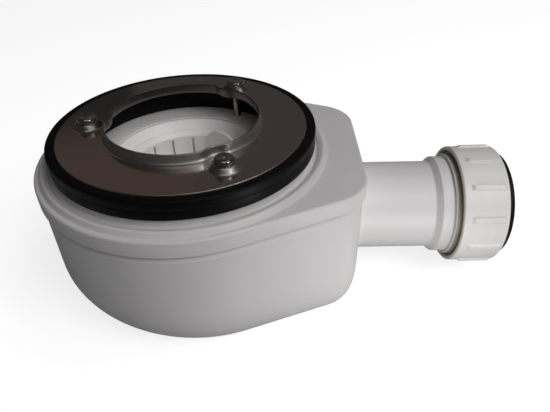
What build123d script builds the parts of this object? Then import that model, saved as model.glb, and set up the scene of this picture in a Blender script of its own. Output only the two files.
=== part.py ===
from build123d import *
import os
from math import acos, atan2, cos, degrees, radians, sin, sqrt

# Shower trap for a tray with a 90 mm waste hole and a 40 mm compression outlet.
# Frame: origin on the waste axis at the foot of the body, +Z up, +X along the outlet, millimetres.

# Waste: widths counted outwards from the bore of the dip tube
tube_radius = 27.2
tube_wall = 1.8
funnel_width = 5.4
funnel_land = 0.9
tube_gap = 0.2
throat_wall = 3.0
screw_setback = 4.5
recess_margin = 5.4
collar_width = 9.4
collar_edge_round = 0.5
groove_width = 2.4
groove_lift = 0.2
bead_radius = 1.9
bead_end_angle = 20.0
bead_blend = 1.2
bead_land = 0.1

# Outlet: sizes counted outwards from the socket for the waste pipe
socket_radius = 20.3
socket_depth = 18.0
socket_wall = 2.4
socket_step = 2.4
pipe_wall = 2.6
pipe_length = 35.1
root_flare = 3.0
spigot_slope = 2.5
spigot_land = 5.1
thread_depth = 2.6
run_in_depth = 1.3
run_in_length = 3.6
thread_length = 15.5
thread_chamfer = 1.0

# Body plan: a round bowl about the waste axis, drawn out by tangents to a flat outlet end
end_reach = 75.8
end_half_width = 42.0
corner_radius = 17.7
body_wall = 3.0

# Rounding of the foot: the bowl draws in by a quarter ellipse and moves towards the outlet,
# so that it rounds most on the far side, and the outlet end rounds in tighter
foot_rise = 27.0
bowl_foot_run = 17.0
bowl_foot_power = 2
bowl_foot_shift = 12.5
end_foot_run = 11.0
end_foot_power = 4

# Heights, counted upwards from the foot
root_clearance = 9.3
weld_margin = 1.8
skirt_height = 7.6
ledge_drop = 1.3
collar_height = 3.8
seat_drop = 10.4
weir_drop = 13.7

# Joint between the two halves of the body: a skirt on the deck closes over a tongue on the tub
skirt_overhang = 1.0
skirt_wall = 2.5
weld_gap = 0.1
weld_groove_depth = 1.1
weld_groove_height = 2.6
deck_thickness = 2.8
deck_edge_round = 1.0
ledge_thickness = 3.0
seat_thickness = 2.0
seat_width = 2.7

# Weir that holds the water back from the outlet
weir_reach = 52.0
weir_wall = 2.5
weir_round = 1.2

# Gaskets, one below the tray and one above it
lower_gasket_thickness = 4.2
upper_gasket_thickness = 3.3
gasket_overhang = 1.1
gasket_skirt = 1.5
gasket_frame = 3.7
gasket_edge_round = 0.5
skirt_gap = 0.1
plate_gap = 0.2
plate_stand = 0.3

# Steel clamp plate, with a rim drawn up round the opening and stepped inwards at each screw
plate_thickness = 1.0
rim_inset = 0.3
rim_wall = 0.8
rim_height = 4.2
rim_foot_round = 2.0
rim_bend_round = 2.6
rim_edge_round = 0.3
scallop_radius = 9.6
scallop_blend = 6.0
dimple_foot_radius = 6.4
dimple_top_radius = 4.6
dimple_height = 2.4

# Screws and the inserts that they turn in
screw_count = 3
screw_phase = 60.0
shank_radius = 2.0
shank_length = 25.0
head_radius = 4.2
head_height = 2.6
head_round = 1.7
cross_span = 4.2
cross_width = 0.9
cross_depth = 1.4
thread_gap = 0.05
hole_gap = 0.25
insert_wall = 0.95
insert_length = 8.0
insert_recess = 0.3
screw_room = 1.0
boss_wall = 2.4
boss_floor = 2.0

# Dip tube and the ring that seals it in the throat
tube_foot = 10.0
tube_head_drop = 0.6
funnel_drop = 6.3
flange_thickness = 2.2
ring_cord = 1.25
ring_gap = 0.05
ring_room = 0.3

# Hair basket, hung by its lip in the funnel of the dip tube
basket_gap = 0.3
basket_wall = 1.4
basket_depth = 28.4
basket_floor_thickness = 1.6
lip_run = 1.7
lip_gap = 0.2
lip_land = 1.0
lip_height = 0.8
lip_step = 0.35
slot_count = 16
slot_width = 1.2
slot_depth = 5.6
slot_lift = 4.5
slot_drop = 1.1
slot_phase = 3.75
drain_radius = 2.0
drain_rings = ((9.0, 6), (18.0, 12))
tab_radius = 10.2
tab_thickness = 1.6
tab_inset = 1.6
tab_angle = 56.0
tab_drop = 11.2
tab_root = 3.2

# Compression nut
nut_wall = 1.9
nut_standoff = 2.3
nut_end_wall = 2.5
nut_edge_round = 0.8
nut_gap = 0.1
rib_count = 12
rib_phase = 20.0
rib_height = 0.8
rib_width = 2.4
rib_start = 3.4
rib_finish = 1.4
rib_slope = 1.2

# Slip washer and lip seal, held between the spigot and the nut's end wall
washer_thickness = 2.0
washer_gap = 0.3
washer_land = 0.1
seal_flange_thickness = 2.3
seal_step = 0.8
seal_gap = 0.1
seal_opening_gap = 0.2
seal_stand = 3.1
seal_edge_round = 1.0
seal_bore_gap = 0.6
lip_bore_gap = 0.05
lip_width = 1.4
lip_places = (2.0, 6.0)

# Radii about the waste axis that follow from the sizes above
flange_radius = tube_radius + funnel_width + funnel_land
throat_radius = flange_radius + tube_gap
screw_circle = throat_radius + throat_wall + screw_setback
recess_radius = screw_circle + recess_margin
collar_radius = recess_radius + collar_width
bead_start = collar_radius + groove_width
bead_middle = bead_start + bead_radius
bead_foot = bead_middle + bead_radius + bead_blend
bowl_radius = bead_foot + bead_land
gasket_radius = collar_radius + gasket_overhang
gasket_bore = recess_radius - skirt_gap - gasket_skirt
plate_radius = gasket_radius - gasket_frame - plate_gap
rim_radius = throat_radius - rim_inset
insert_radius = shank_radius + thread_gap + insert_wall

# Radii about the outlet axis that follow
pipe_bore = socket_radius - socket_step
pipe_radius = pipe_bore + pipe_wall
spigot_radius = socket_radius + socket_wall
thread_radius = spigot_radius + thread_depth
nut_bore = thread_radius + nut_gap
nut_radius = nut_bore + nut_wall
washer_radius = thread_radius - washer_land
seal_radius = thread_radius - seal_step

# Levels that follow
outlet_level = root_clearance + root_flare + pipe_radius
weld_level = outlet_level + pipe_radius + root_flare + weld_margin
deck_level = weld_level + skirt_height
deck_underside = deck_level - deck_thickness
weir_level = deck_level - weir_drop
ledge_level = deck_level - ledge_drop
ledge_underside = ledge_level - ledge_thickness
seat_level = ledge_level - seat_drop
collar_level = deck_level + collar_height
gasket_joint = collar_level + lower_gasket_thickness
plate_underside = gasket_joint + upper_gasket_thickness
plate_level = plate_underside + plate_thickness
dimple_level = plate_level + dimple_height
shank_foot = dimple_level - shank_length
insert_head = ledge_level - insert_recess
insert_foot = insert_head - insert_length

# Places along the outlet that follow
pipe_reach = end_reach + pipe_length
thread_start = pipe_reach + spigot_slope + spigot_land
spigot_reach = thread_start + thread_length
seal_start = spigot_reach + washer_thickness
flange_end = seal_start + seal_flange_thickness
nut_start = thread_start + nut_standoff
nut_reach = flange_end + seal_gap + nut_end_wall
outlet_axis = Axis((0, 0, outlet_level), (1, 0, 0))
outlet_plane = Plane(origin=(0, 0, outlet_level), x_dir=(0, 1, 0), z_dir=(1, 0, 0))
screw_angles = [screw_phase + 360 * k / screw_count for k in range(screw_count)]
screw_places = [(screw_circle * cos(radians(a)), screw_circle * sin(radians(a))) for a in screw_angles]

os.makedirs("parts", exist_ok=True)


def save(piece, name):
    """Label a finished piece and write it as its own file."""
    piece.part.label = name
    export_step(piece.part, "parts/" + name + ".step")


def section(*points):
    """A closed outline in the plane of X and Z, given as (x, z) points, to be turned or extruded."""
    with BuildSketch(Plane.XZ) as outline:
        with BuildLine():
            Polyline(*points, close=True)
        make_face()
    return outline.sketch


def body_plan(level, bowl_inset, end_inset, bowl_shift=0.0):
    """The body's plan at one level: the bowl's arc, two corner arcs and the tangents between them."""
    big = bowl_radius - bowl_inset
    small = corner_radius - end_inset
    x = end_reach - corner_radius
    y = end_half_width - corner_radius
    gap = x - bowl_shift
    turn = atan2(y, gap) + acos((big - small) / sqrt(gap * gap + y * y))
    across, along = cos(turn), sin(turn)
    bowl_side = bowl_shift + big * across
    with BuildSketch(Plane.XY.offset(level)) as plan:
        with BuildLine():
            CenterArc((bowl_shift, 0), big, degrees(turn), 360 - 2 * degrees(turn))
            Line((bowl_side, -big * along), (x + small * across, -y - small * along))
            CenterArc((x, -y), small, -degrees(turn), degrees(turn))
            Line((x + small, -y), (x + small, y))
            CenterArc((x, y), small, 0, degrees(turn))
            Line((x + small * across, y + small * along), (bowl_side, big * along))
        make_face()
    return plan.sketch


def foot_plans(wall):
    """The body's plans over the rounding of the foot, drawn in by a wall's thickness.

    At a height h above the foot the plan is in by run * (1 - sqrt(1 - rest^power)), where rest
    is 1 - h / rise. A power of 2 is an ellipse, and a higher one rounds closer to the foot. The
    bowl's centre moves by its shift in the same share as the bowl draws in.
    """
    rise = foot_rise - wall
    plans = []
    for angle in (0, 12, 24, 36, 48, 60, 70, 80, 90):
        rest = max(0.0, cos(radians(angle)))
        share = 1 - sqrt(1 - rest**bowl_foot_power)
        bowl_inset = wall + (bowl_foot_run - wall) * share
        end_inset = wall + (end_foot_run - wall) * (1 - sqrt(1 - rest**end_foot_power))
        plans.append(body_plan(foot_rise - rise * rest, bowl_inset, end_inset, bowl_foot_shift * share))
    return plans


# The water space is the inside of the tub, parted by the weir
with BuildPart() as water_space:
    loft(sections=foot_plans(body_wall))
    extrude(body_plan(foot_rise, body_wall, body_wall), amount=deck_underside - foot_rise)
    with BuildSketch(Plane.XZ) as weir_section:
        with BuildLine():
            Polyline(
                (weir_reach, 0),
                (weir_reach + weir_wall, 0),
                (weir_reach + weir_wall, weir_level),
                (weir_reach, weir_level),
                close=True,
            )
        make_face()
        fillet(weir_section.vertices().group_by(Axis.Y)[-1], weir_round)
    extrude(amount=end_half_width + bowl_radius, both=True, mode=Mode.SUBTRACT)

# Tub: the lower half of the body, moulded with the weir, the outlet pipe and its spigot
with BuildPart() as tub:
    loft(sections=foot_plans(0))
    groove_level = weld_level - weld_groove_height
    extrude(body_plan(foot_rise, 0, 0), amount=groove_level - foot_rise)
    extrude(body_plan(groove_level, weld_groove_depth, weld_groove_depth), amount=weld_groove_height)
    tongue_inset = skirt_wall - skirt_overhang + weld_gap
    extrude(body_plan(weld_level, tongue_inset, tongue_inset),
            amount=deck_underside - weld_gap - weld_level)
    with BuildSketch(Plane.XZ):
        with BuildLine():
            root = end_reach - body_wall / 2
            pipe_side = outlet_level + pipe_radius
            thread_side = outlet_level + thread_radius
            spigot_side = outlet_level + spigot_radius
            run_in_side = spigot_side + run_in_depth
            Line((root, outlet_level), (root, pipe_side + root_flare))
            Line((root, pipe_side + root_flare), (end_reach, pipe_side + root_flare))
            CenterArc((end_reach + root_flare, pipe_side + root_flare), root_flare, 180, 90)
            Polyline(
                (end_reach + root_flare, pipe_side),
                (pipe_reach, pipe_side),
                (pipe_reach + spigot_slope, spigot_side),
                (thread_start, spigot_side),
                (thread_start, run_in_side),
                (thread_start + run_in_length, run_in_side),
                (thread_start + run_in_length, thread_side),
                (spigot_reach - thread_chamfer, thread_side),
                (spigot_reach, thread_side - thread_chamfer),
                (spigot_reach, outlet_level),
                (root, outlet_level),
            )
        make_face()
    revolve(axis=outlet_axis)
    add(water_space.part, mode=Mode.SUBTRACT)
    with BuildSketch(outlet_plane.offset(end_reach - 2 * body_wall)):
        Circle(pipe_bore)
    extrude(amount=spigot_reach - end_reach + 2 * body_wall, mode=Mode.SUBTRACT)
    with BuildSketch(outlet_plane.offset(spigot_reach - socket_depth)):
        Circle(socket_radius)
    extrude(amount=socket_depth, mode=Mode.SUBTRACT)
save(tub, "tub")

# Deck: the upper half of the body, with the collar, the ledge, the throat and the screw bosses
with BuildPart() as deck:
    extrude(body_plan(weld_level, -skirt_overhang, -skirt_overhang), amount=deck_level - weld_level)
    fillet(deck.faces().sort_by(Axis.Z)[-1].edges(), deck_edge_round)
    cavity_inset = skirt_wall - skirt_overhang
    extrude(body_plan(weld_level, cavity_inset, cavity_inset),
            amount=deck_underside - weld_level, mode=Mode.SUBTRACT)
    ledge_outside = recess_radius + ledge_thickness
    with BuildSketch(Plane.XY.offset(weld_level)):
        Circle(ledge_outside)
    extrude(amount=deck_level - weld_level, mode=Mode.SUBTRACT)
    with BuildSketch(Plane.XZ):
        with BuildLine():
            groove_floor = deck_level + groove_lift
            bead_side = (bead_middle + bead_radius * cos(radians(bead_end_angle)),
                         groove_floor + bead_radius * sin(radians(bead_end_angle)))
            seat_bore = throat_radius - seat_width
            Polyline(
                (throat_radius, seat_level),
                (throat_radius, ledge_level),
                (recess_radius, ledge_level),
                (recess_radius, collar_level),
                (collar_radius - collar_edge_round, collar_level),
                (collar_radius, collar_level - collar_edge_round),
                (collar_radius, groove_floor),
                (bead_start, groove_floor),
            )
            ThreePointArc((bead_start, groove_floor),
                          (bead_middle, groove_floor + bead_radius), bead_side)
            Polyline(
                bead_side,
                (bead_foot, deck_level),
                (bead_foot, deck_level - deck_thickness / 2),
                (ledge_outside, deck_underside),
                (ledge_outside, ledge_underside),
                (throat_radius + throat_wall, ledge_underside),
                (throat_radius + throat_wall, seat_level - seat_thickness),
                (seat_bore, seat_level - seat_thickness),
                (seat_bore, seat_level),
                (throat_radius, seat_level),
            )
        make_face()
    revolve(axis=Axis.Z)
    with BuildSketch(Plane.XY.offset(shank_foot - screw_room - boss_floor)):
        with Locations(*screw_places):
            Circle(insert_radius + thread_gap + boss_wall)
    extrude(amount=ledge_underside + ledge_thickness / 2 - shank_foot + screw_room + boss_floor)
    with BuildSketch(Plane.XY.offset(insert_foot)):
        with Locations(*screw_places):
            Circle(insert_radius + thread_gap)
    extrude(amount=ledge_level - insert_foot, mode=Mode.SUBTRACT)
    with BuildSketch(Plane.XY.offset(shank_foot - screw_room)):
        with Locations(*screw_places):
            Circle(shank_radius + hole_gap)
    extrude(amount=ledge_level - shank_foot + screw_room, mode=Mode.SUBTRACT)
save(deck, "deck")

# Screw inserts: brass bushes moulded into the bosses
with BuildPart() as screw_inserts:
    with BuildSketch(Plane.XY.offset(insert_foot)):
        with Locations(*screw_places):
            Circle(insert_radius)
            Circle(shank_radius + thread_gap, mode=Mode.SUBTRACT)
    extrude(amount=insert_length)
save(screw_inserts, "screw_inserts")

# Lower gasket: a flange on the collar and a skirt that lines the recess down to the ledge
with BuildPart() as lower_gasket:
    revolve(
        section(
            (gasket_bore, ledge_level),
            (recess_radius - skirt_gap, ledge_level),
            (recess_radius - skirt_gap, collar_level),
            (gasket_radius, collar_level),
            (gasket_radius, gasket_joint),
            (gasket_bore, gasket_joint),
        ),
        axis=Axis.Z,
    )
save(lower_gasket, "lower_gasket")

# Upper gasket: carries the clamp plate and frames its edge
with BuildPart() as upper_gasket:
    revolve(
        section(
            (gasket_bore, gasket_joint),
            (gasket_radius, gasket_joint),
            (gasket_radius, plate_level - plate_stand),
            (plate_radius + plate_gap, plate_level - plate_stand),
            (plate_radius + plate_gap, plate_underside),
            (gasket_bore, plate_underside),
        ),
        axis=Axis.Z,
    )
    fillet(upper_gasket.edges().group_by(Axis.Z)[-1].sort_by(SortBy.RADIUS)[-1], gasket_edge_round)
save(upper_gasket, "upper_gasket")


def opening_plan(inset):
    """The opening's outline, a circle stepped inwards round each screw, drawn in by an inset."""
    with BuildSketch() as plan:
        Circle(rim_radius - inset)
        with Locations(*screw_places):
            Circle(scallop_radius + inset, mode=Mode.SUBTRACT)
        fillet(plan.vertices(), scallop_blend - inset)
    return plan.sketch


# Clamp plate: the opening's outline cuts the plate and carries the drawn-up rim
with BuildPart() as clamp_plate:
    with BuildSketch(Plane.XY.offset(plate_underside)):
        Circle(plate_radius)
        add(opening_plan(rim_wall), mode=Mode.SUBTRACT)
    extrude(amount=plate_thickness)
    with BuildSketch(Plane.XY.offset(plate_underside)):
        add(opening_plan(0))
        add(opening_plan(rim_wall), mode=Mode.SUBTRACT)
    extrude(amount=plate_thickness + rim_height)
    plate_face = clamp_plate.faces().filter_by(Axis.Z).sort_by(SortBy.AREA)[-2:].sort_by(Axis.Z)[-1]
    fillet(plate_face.inner_wires()[0].edges(), rim_foot_round)
    under_face = clamp_plate.faces().filter_by(Axis.Z).sort_by(Axis.Z)[0]
    fillet(under_face.inner_wires()[0].edges(), rim_bend_round)
    fillet(clamp_plate.faces().sort_by(Axis.Z)[-1].edges(), rim_edge_round)
    with Locations(*[(x, y, plate_level) for x, y in screw_places]):
        Cone(dimple_foot_radius, dimple_top_radius, dimple_height,
             align=(Align.CENTER, Align.CENTER, Align.MIN))
    with Locations(*[(x, y, plate_underside) for x, y in screw_places]):
        Cone(dimple_foot_radius - plate_thickness / 2, dimple_top_radius - plate_thickness / 2,
             dimple_height, align=(Align.CENTER, Align.CENTER, Align.MIN), mode=Mode.SUBTRACT)
    with BuildSketch(Plane.XY.offset(plate_underside)):
        with Locations(*screw_places):
            Circle(shank_radius + hole_gap)
    extrude(amount=plate_thickness + dimple_height, mode=Mode.SUBTRACT)
save(clamp_plate, "clamp_plate")

# Plate screws: pan heads with a cross recess
with BuildPart() as plate_screws:
    with BuildSketch(Plane.XY.offset(shank_foot)):
        with Locations(*screw_places):
            Circle(shank_radius)
    extrude(amount=shank_length)
    with BuildSketch(Plane.XY.offset(dimple_level)):
        with Locations(*screw_places):
            Circle(head_radius)
    extrude(amount=head_height)
    fillet(plate_screws.edges().group_by(Axis.Z)[-1], head_round)
    with BuildSketch(Plane.XY.offset(dimple_level + head_height)):
        with Locations(*screw_places):
            Rectangle(cross_span, cross_width)
            Rectangle(cross_width, cross_span)
    extrude(amount=-cross_depth, mode=Mode.SUBTRACT)
save(plate_screws, "plate_screws")

# Dip tube: a funnel on a flange that seats in the throat, grooved for its ring
tube_head = ledge_level - tube_head_drop
funnel_foot = ledge_level - funnel_drop
ring_bed = throat_radius - 2 * (ring_cord + ring_gap)
groove_foot = seat_level + flange_thickness
groove_head = groove_foot + 2 * (ring_cord + ring_room)
with BuildPart() as dip_tube:
    revolve(
        section(
            (tube_radius, tube_foot),
            (tube_radius + tube_wall, tube_foot),
            (tube_radius + tube_wall, seat_level),
            (flange_radius, seat_level),
            (flange_radius, groove_foot),
            (ring_bed, groove_foot),
            (ring_bed, groove_head),
            (flange_radius, groove_head),
            (flange_radius, tube_head),
            (flange_radius - funnel_land, tube_head),
            (tube_radius, funnel_foot),
        ),
        axis=Axis.Z,
    )
save(dip_tube, "dip_tube")

# Dip-tube ring
with BuildPart() as dip_tube_o_ring:
    with Locations((0, 0, (groove_foot + groove_head) / 2)):
        Torus(throat_radius - ring_gap - ring_cord, ring_cord)
save(dip_tube_o_ring, "dip_tube_o_ring")

# Hair basket: a slotted cup with a conical lip and a half-round finger tab
basket_radius = tube_radius - basket_gap
basket_inside = basket_radius - basket_wall
basket_floor = ledge_level - basket_depth
slot_foot = basket_floor + slot_lift
funnel_pitch = (tube_head - funnel_foot) / (flange_radius - funnel_land - tube_radius)
lip_foot = funnel_foot + lip_gap - basket_gap * funnel_pitch
lip_edge = lip_foot + lip_run * funnel_pitch
with BuildPart() as hair_basket:
    revolve(
        section(
            (0, basket_floor),
            (basket_radius, basket_floor),
            (basket_radius, lip_foot),
            (basket_radius + lip_run, lip_edge),
            (basket_radius + lip_run, lip_edge + lip_height),
            (basket_radius + lip_run - lip_land, lip_edge + lip_height),
            (basket_inside, lip_foot + lip_step),
            (basket_inside, basket_floor + basket_floor_thickness),
            (0, basket_floor + basket_floor_thickness),
        ),
        axis=Axis.Z,
    )
    with BuildSketch(Plane.XY.offset(slot_foot)):
        with PolarLocations(basket_radius, slot_count, start_angle=slot_phase):
            Rectangle(slot_depth, slot_width)
    extrude(amount=funnel_foot - slot_drop - slot_foot, mode=Mode.SUBTRACT)
    with BuildSketch(Plane.XY.offset(basket_floor)):
        Circle(drain_radius)
        for ring_radius, hole_count in drain_rings:
            with PolarLocations(ring_radius, hole_count):
                Circle(drain_radius)
    extrude(amount=basket_floor_thickness, mode=Mode.SUBTRACT)
    tab_offset = basket_inside - tab_inset
    tab_out = (cos(radians(tab_angle)), sin(radians(tab_angle)), 0)
    tab_side = (-tab_out[1], tab_out[0], 0)
    tab_middle = (tab_offset * tab_out[0], tab_offset * tab_out[1], ledge_level - tab_drop)
    with BuildSketch(Plane(origin=tab_middle, x_dir=tab_side, z_dir=tab_out)) as tab:
        chord = 2 * sqrt(basket_radius**2 - (tab_offset + tab_thickness / 2) ** 2)
        Circle(tab_radius)
        Rectangle(chord, 2 * tab_radius, mode=Mode.INTERSECT)
        with Locations((0, -tab_root - tab_radius)):
            Rectangle(chord, 2 * tab_radius, mode=Mode.SUBTRACT)
    extrude(amount=tab_thickness / 2, both=True)
save(hair_basket, "hair_basket")

# Compression nut: threaded bore, end wall with the seal's opening, and ribs for the grip
with BuildPart() as compression_nut:
    bore_side = outlet_level + nut_bore
    body_side = outlet_level + nut_radius
    opening_side = outlet_level + seal_radius + seal_opening_gap
    revolve(
        section(
            (nut_start, bore_side),
            (nut_start, body_side),
            (nut_reach, body_side),
            (nut_reach, opening_side),
            (nut_reach - nut_end_wall, opening_side),
            (nut_reach - nut_end_wall, bore_side),
        ),
        axis=outlet_axis,
    )
    rims = compression_nut.edges().filter_by(GeomType.CIRCLE).group_by(SortBy.RADIUS)[-1]
    fillet(rims, nut_edge_round)
    rib_turns = [radians(rib_phase + 360 * k / rib_count) for k in range(rib_count)]
    rib_planes = [
        Plane(origin=(0, 0, outlet_level), x_dir=(1, 0, 0), z_dir=(0, -sin(turn), -cos(turn)))
        for turn in rib_turns
    ]
    with BuildSketch(*rib_planes):
        with BuildLine():
            rib_root = nut_radius - rib_height / 2
            rib_top = nut_radius + rib_height
            Polyline(
                (nut_start + rib_start, rib_root),
                (nut_start + rib_start, nut_radius),
                (nut_start + rib_start + rib_slope, rib_top),
                (nut_reach - rib_finish - rib_slope, rib_top),
                (nut_reach - rib_finish, nut_radius),
                (nut_reach - rib_finish, rib_root),
                close=True,
            )
        make_face()
    extrude(amount=rib_width / 2, both=True)
save(compression_nut, "compression_nut")

# Slip washer
with BuildPart() as slip_washer:
    with BuildSketch(outlet_plane.offset(spigot_reach)):
        Circle(washer_radius)
        Circle(socket_radius + washer_gap, mode=Mode.SUBTRACT)
    extrude(amount=washer_thickness)
save(slip_washer, "slip_washer")

# Outlet lip seal: a flange behind the nut's end wall and a body that stands out of its opening
with BuildPart() as outlet_lip_seal:
    seal_reach = nut_reach + seal_stand
    seal_inside = outlet_level + socket_radius + seal_bore_gap
    lip_side = outlet_level + socket_radius + lip_bore_gap
    lips = []
    for place in lip_places:
        lips += [
            (seal_start + place - lip_width / 2, seal_inside),
            (seal_start + place, lip_side),
            (seal_start + place + lip_width / 2, seal_inside),
        ]
    revolve(
        section(
            (seal_start, seal_inside),
            *lips,
            (seal_reach, seal_inside),
            (seal_reach, outlet_level + seal_radius),
            (flange_end, outlet_level + seal_radius),
            (flange_end, outlet_level + washer_radius),
            (seal_start, outlet_level + washer_radius),
        ),
        axis=outlet_axis,
    )
    fillet(outlet_lip_seal.faces().sort_by(Axis.X)[-1].edges().sort_by(SortBy.RADIUS)[-1],
           seal_edge_round)
save(outlet_lip_seal, "outlet_lip_seal")
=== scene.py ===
# %% [markdown]
# # A shower trap, dressed for the camera
#
# A shower trap hangs under the waste hole of a shower tray. A steel plate with three screws clamps
# the tray between two black gaskets, and a white moulded body below holds the water seal. This
# script loads the solids of the trap as a fixed frame and lays smooth surfaces over them. Every
# length below is in millimetres, in the same frame as the solids: the origin lies on the waste
# axis at the foot of the body, X runs along the outlet and Z points up.

import bmesh
import bpy
import numpy as np
from mathutils import Matrix, Vector


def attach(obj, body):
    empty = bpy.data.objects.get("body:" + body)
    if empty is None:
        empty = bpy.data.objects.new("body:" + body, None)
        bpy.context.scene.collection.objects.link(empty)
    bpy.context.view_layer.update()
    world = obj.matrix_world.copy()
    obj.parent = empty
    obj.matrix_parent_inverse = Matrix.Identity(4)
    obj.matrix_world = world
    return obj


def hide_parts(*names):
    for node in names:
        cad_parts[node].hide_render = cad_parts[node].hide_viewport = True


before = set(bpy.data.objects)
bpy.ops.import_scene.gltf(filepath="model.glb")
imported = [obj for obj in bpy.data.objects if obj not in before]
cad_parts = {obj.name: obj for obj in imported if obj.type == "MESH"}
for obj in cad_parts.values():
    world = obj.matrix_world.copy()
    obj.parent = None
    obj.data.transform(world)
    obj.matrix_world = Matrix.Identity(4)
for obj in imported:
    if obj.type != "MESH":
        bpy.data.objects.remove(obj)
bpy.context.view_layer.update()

print("nodes:", sorted(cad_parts))

# %% [markdown]
# ## From numbers to a mesh
#
# Each surface is a grid: rows run along a profile and columns run round an axis. The whole grid is
# one numpy array, and `foreach_set` hands it to Blender in one go. A grid could also be built face
# by face with bmesh, but that is slow and hides the formula. A closed shell knows which way is out:
# the sum of the tetrahedra between the origin and its faces is its volume, and a negative volume
# means that the faces point inwards, so they are turned.

# %% The faces between the points of a grid
def grid_faces(rows, columns, close_rows):
    """Corner numbers of the quads of a grid whose columns run round and whose rows may too."""
    row = np.arange(rows if close_rows else rows - 1)[:, None]
    column = np.arange(columns)[None, :]
    next_row = (row + 1) % rows
    next_column = (column + 1) % columns
    corners = (
        row * columns + column,
        row * columns + next_column,
        next_row * columns + next_column,
        next_row * columns + column,
    )
    return np.stack([np.broadcast_to(c, (row.size, columns)) for c in corners], -1).reshape(-1, 4)


# %% Grids of points become a mesh
MM = 0.001


def piece_from(name, grids, close_rows=True, crease=40):
    """A mesh object from grids of points (row, column, xyz) in millimetres, smooth but for creases.

    Its volume, six times over, is the sum of a . (b x c) + a . (c x d) over the quads a, b, c, d.
    """
    starts = np.cumsum([0] + [grid.shape[0] * grid.shape[1] for grid in grids])
    quads = np.concatenate([start + grid_faces(*grid.shape[:2], close_rows)
                            for start, grid in zip(starts, grids)])
    vertices = np.concatenate([grid.reshape(-1, 3) for grid in grids])
    a, b, c, d = (vertices[quads[:, k]] for k in range(4))
    volume = np.einsum("ij,ij->", a, np.cross(b, c)) + np.einsum("ij,ij->", a, np.cross(c, d))
    if volume < 0:
        quads = quads[:, ::-1]
    mesh = bpy.data.meshes.new(name)
    mesh.vertices.add(len(vertices))
    mesh.vertices.foreach_set("co", (vertices * MM).astype(np.float32).ravel())
    mesh.loops.add(quads.size)
    mesh.loops.foreach_set("vertex_index", quads.astype(np.int32).ravel())
    mesh.polygons.add(len(quads))
    mesh.polygons.foreach_set("loop_start", np.arange(0, quads.size, 4, dtype=np.int32))
    mesh.update(calc_edges=True)
    mesh.validate()
    weld_doubles(mesh)
    mesh.polygons.foreach_set("use_smooth", np.ones(len(mesh.polygons), bool))
    mesh.set_sharp_from_angle(angle=np.radians(crease))
    piece = bpy.data.objects.new(name, mesh)
    bpy.context.scene.collection.objects.link(piece)
    print(f"{name}: {len(mesh.vertices)} vertices, {len(mesh.polygons)} faces")
    return piece


def weld_doubles(mesh):
    """Merge vertices within 0.002 mm of each other, which closes poles and seams."""
    reach = 0.002 * MM
    work = bmesh.new()
    work.from_mesh(mesh)
    bmesh.ops.remove_doubles(work, verts=work.verts, dist=reach)
    bmesh.ops.dissolve_degenerate(work, dist=reach, edges=work.edges)
    work.to_mesh(mesh)
    work.free()


# %% [markdown]
# ## Moulded corners
#
# No moulded, pressed or turned edge is truly sharp: it has a small radius, and the light line along
# it is what the eye reads as an edge. `rounded` takes a profile with a radius at each corner and
# puts an arc there. A quadratic curve whose middle handle is the corner is an exact arc when the
# handle weighs as much as the cosine of half the turn.

# %% A profile with rounded corners
def rounded(profile, steps=5, closed=True):
    """Profile points (a, b, radius) with each corner replaced by an arc of its radius.

    The arc starts and ends at radius * tan(turn / 2) from the corner, and its points are
    (P0 (1-t)^2 + 2 w P1 t (1-t) + P2 t^2) / ((1-t)^2 + 2 w t (1-t) + t^2), w = cos(turn / 2).
    """
    data = np.array(profile, float)
    corner, radius = data[:, :2], data[:, 2]
    before = np.roll(corner, 1, 0) - corner
    after = np.roll(corner, -1, 0) - corner
    if not closed:
        before[0] = -after[0]
        after[-1] = -before[-1]
    before /= np.linalg.norm(before, axis=1)[:, None]
    after /= np.linalg.norm(after, axis=1)[:, None]
    half_turn = (np.pi - np.arccos(np.clip((before * after).sum(1), -1, 1))) / 2
    cut = (radius * np.tan(half_turn))[:, None]
    start, end = corner + before * cut, corner + after * cut
    t = np.linspace(0, 1, steps)[None, :, None]
    weight = 2 * np.cos(half_turn)[:, None, None] * t * (1 - t)
    points = start[:, None] * (1 - t) ** 2 + corner[:, None] * weight + end[:, None] * t**2
    points = (points / ((1 - t) ** 2 + weight + t**2)).reshape(-1, 2)
    apart = np.linalg.norm(points - np.roll(points, 1, 0), axis=1) > 1e-6
    return points[apart]


# %% [markdown]
# ## Two axes
#
# Everything in the trap is laid out round two axes. The waste axis stands upright at the origin,
# and the outlet axis runs along X at the height of the pipe. A surface is a distance from one of
# them in each direction, and a turned piece has the same distance all round.

# %% Points round an axis
OUTLET_LEVEL = 32.8


def lap(columns):
    """Evenly spaced directions once round an axis."""
    return np.linspace(0, 2 * np.pi, columns, endpoint=False)


def round_waste(radius, level, turn):
    """Points (radius cos(turn), radius sin(turn), level) about the waste axis."""
    across, side = radius * np.cos(turn), radius * np.sin(turn)
    return np.stack(np.broadcast_arrays(across, side, level), -1)


def round_outlet(radius, along, turn):
    """Points (along, radius cos(turn), radius sin(turn) + outlet level) about the outlet axis."""
    across, up = radius * np.cos(turn), radius * np.sin(turn) + OUTLET_LEVEL
    return np.stack(np.broadcast_arrays(along, across, up), -1)


def turned(name, profile, columns, about=round_waste):
    """A closed profile (distance along the axis, radius) carried round the waste or outlet axis."""
    along, radius = rounded(profile).T[..., None]
    return piece_from(name, [about(radius, along, lap(columns))])


# %% [markdown]
# ## The plan of the body
#
# Seen from above the body is a round bowl that runs out in two straight tangents to a flat end with
# rounded corners, where the outlet leaves. Written as a distance from the waste axis in each
# direction, the outline is four pieces: an arc about the axis, a straight tangent, a corner arc and
# the flat end. Drawing every radius in by the same amount gives a true offset, so one function
# serves the outside, the inside, the deck and its rounded edge. The columns stand closer together
# over the end and its corners.

# %% The outline of the body in polar form
BOWL = 63.5
END_REACH = 75.8
END_HALF_WIDTH = 42.0
CORNER = 17.7

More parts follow.
